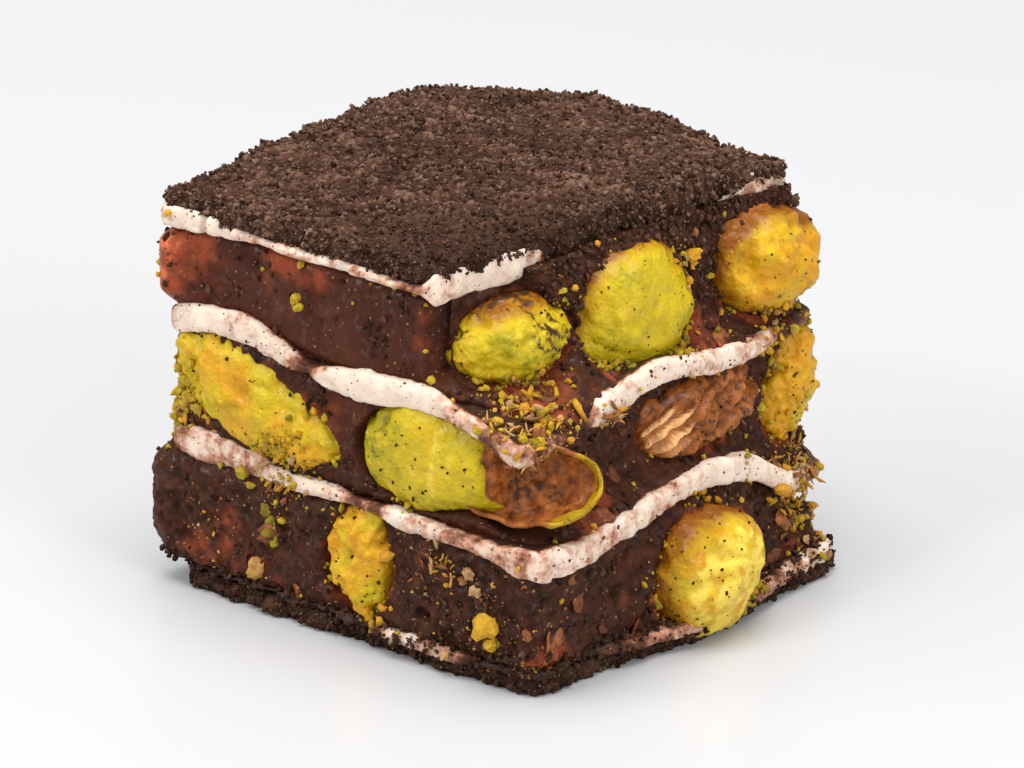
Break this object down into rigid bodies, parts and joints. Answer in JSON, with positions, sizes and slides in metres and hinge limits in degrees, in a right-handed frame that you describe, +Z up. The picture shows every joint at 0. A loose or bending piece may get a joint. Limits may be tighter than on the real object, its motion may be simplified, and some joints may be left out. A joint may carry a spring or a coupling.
{
  "type": "turkish delight",
  "caption": "Cube of layered turkish delight: chocolate paste set with pistachio kernels between thin white nougat sheets, coated top and bottom with dark cocoa crumbs.",
  "frame": {"origin": "middle of the base's bounds, on the surface that the sweet rests on", "axes": "+Z up through the layers, -Y towards the front cut face, +X towards the right cut face, whose upper layers step back"},
  "size_m": [0.0329, 0.0322, 0.0279],
  "materials": {
    "crumb_coat": "rough dark cocoa crumbs",
    "nougat_sheet": "off-white, smooth and matte",
    "chocolate_paste": "dark brown, sticky and half glossy",
    "pistachio": "yellow green kernel with thin brown skin"
  },
  "bodies": {
    "root": {"coat_bottom": "crumb_coat", "coat_top": "crumb_coat", "filling_lower": "chocolate_paste", "filling_middle": "chocolate_paste", "filling_upper": "chocolate_paste", "sheet_base": "nougat_sheet", "sheet_lower": "nougat_sheet", "sheet_upper": "nougat_sheet", "sheet_top": "nougat_sheet", "kernel_upper_corner": "pistachio", "kernel_upper_right": "pistachio", "kernel_upper_right_back": "pistachio", "kernel_upper_back_right": "pistachio", "kernel_upper_back_left": "pistachio", "kernel_upper_left_back": "pistachio", "kernel_upper_left_front": "pistachio", "kernel_middle_front_left": "pistachio", "kernel_middle_corner": "pistachio", "kernel_middle_right": "pistachio", "kernel_middle_right_back": "pistachio", "kernel_middle_back_right": "pistachio", "kernel_middle_back_left": "pistachio", "kernel_middle_left_back": "pistachio", "kernel_middle_left_front": "pistachio", "kernel_lower_front": "pistachio", "kernel_lower_right": "pistachio", "kernel_lower_back_right": "pistachio", "kernel_lower_back_left": "pistachio", "kernel_lower_left_back": "pistachio", "kernel_lower_left_front": "pistachio"}
  },
  "joints": []
}
